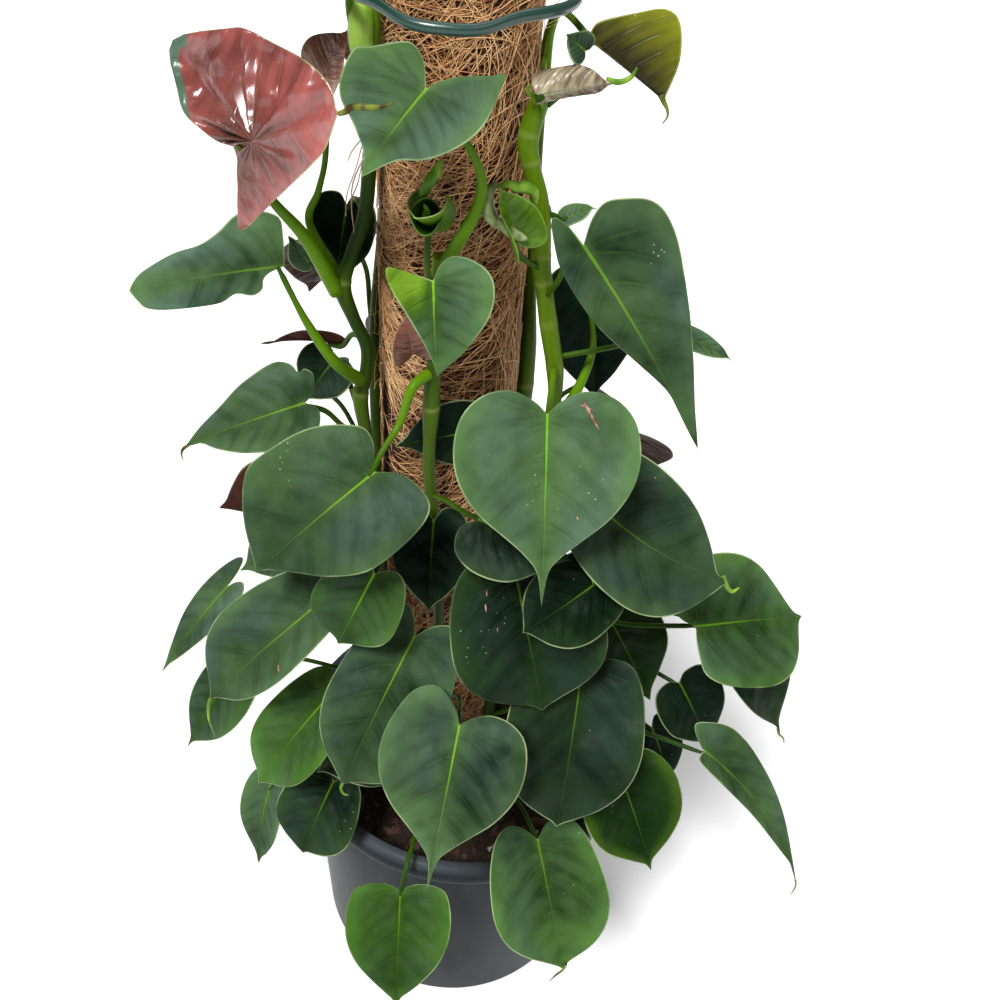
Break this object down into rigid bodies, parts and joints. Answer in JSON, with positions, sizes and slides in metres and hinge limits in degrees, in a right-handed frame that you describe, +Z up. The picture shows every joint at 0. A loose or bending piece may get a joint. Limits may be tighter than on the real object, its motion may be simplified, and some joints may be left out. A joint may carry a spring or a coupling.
{
  "type": "potted philodendron lupinum",
  "caption": "Velvet-leaved climbing aroid with long drip tips, trained up a coir pole in a round matte pot, to stand on a floor, shelf or table",
  "frame": {"origin": "middle of the pot's flat base, on the surface that it stands on", "axes": "+Z up along the pot's axis, -Y towards the front, +X to the right seen from the front"},
  "size_m": [0.4295, 0.3428, 0.749],
  "materials": {
    "leaf_green": "velvety dark grey-green blade with a lighter midrib",
    "young_leaf": "soft bright green young blade",
    "red_leaf": "glossy red-brown young blade or leaf underside",
    "stem_green": "smooth green stem, brighter at the sheaths",
    "dark_stem": "smooth dark green stem",
    "pot_plastic": "dark grey moulded plastic with a soft sheen on the lip",
    "potting_soil": "loose dark potting mix with reddish bark chips",
    "coir": "swirled orange-brown coconut fibre mat",
    "core_plastic": "plain cream plastic tube under the mat",
    "ring_plastic": "dark green coated tube with a narrow highlight"
  },
  "bodies": {
    "root": {"pot": "pot_plastic", "soil": "potting_soil", "pole_core": "core_plastic", "coir_sleeve": "coir", "support_ring": "ring_plastic", "vine_left": "stem_green", "vine_centre": "stem_green", "vine_right": "stem_green", "vine_back_left": "dark_stem", "vine_back_right": "dark_stem", "vine_back": "dark_stem", "leaf_red_young": "red_leaf", "leaf_brown_bud": "red_leaf", "leaf_top_front": "leaf_green", "leaf_olive_top": "leaf_green", "leaf_rolled_top": "red_leaf", "leaf_bud_centre": "young_leaf", "leaf_curled_green": "young_leaf", "leaf_far_left": "leaf_green", "leaf_pole_front": "young_leaf", "leaf_young_centre": "red_leaf", "leaf_behind_left": "leaf_green", "leaf_red_edge": "red_leaf", "leaf_shaded_left": "leaf_green", "leaf_left_low": "leaf_green", "leaf_big_left": "leaf_green", "leaf_brown_left": "red_leaf", "leaf_left_top": "leaf_green", "leaf_left_a": "leaf_green", "leaf_left_b": "leaf_green", "leaf_round_left": "leaf_green", "leaf_left_c": "leaf_green", "leaf_left_d": "leaf_green", "leaf_front_left": "leaf_green", "leaf_front_under": "leaf_green", "leaf_low_left": "leaf_green", "leaf_rim_left": "leaf_green", "leaf_front_mid": "leaf_green", "leaf_pole_dark": "leaf_green", "leaf_dark_stem": "leaf_green", "leaf_centre_dark": "leaf_green", "leaf_centre_slant": "leaf_green", "leaf_centre_small": "leaf_green", "leaf_big_centre": "leaf_green", "leaf_big_right": "leaf_green", "leaf_far_right_tip": "leaf_green", "leaf_dark_right": "leaf_green", "leaf_right_tall": "leaf_green", "leaf_right_a": "leaf_green", "leaf_right_b": "leaf_green", "leaf_right_c": "leaf_green", "leaf_right_d": "leaf_green", "leaf_black_right": "leaf_green", "leaf_front_right": "leaf_green", "leaf_low_right": "leaf_green", "leaf_right_hanging": "leaf_green", "leaf_over_rim_right": "leaf_green", "leaf_over_rim_left": "leaf_green"}
  },
  "joints": []
}
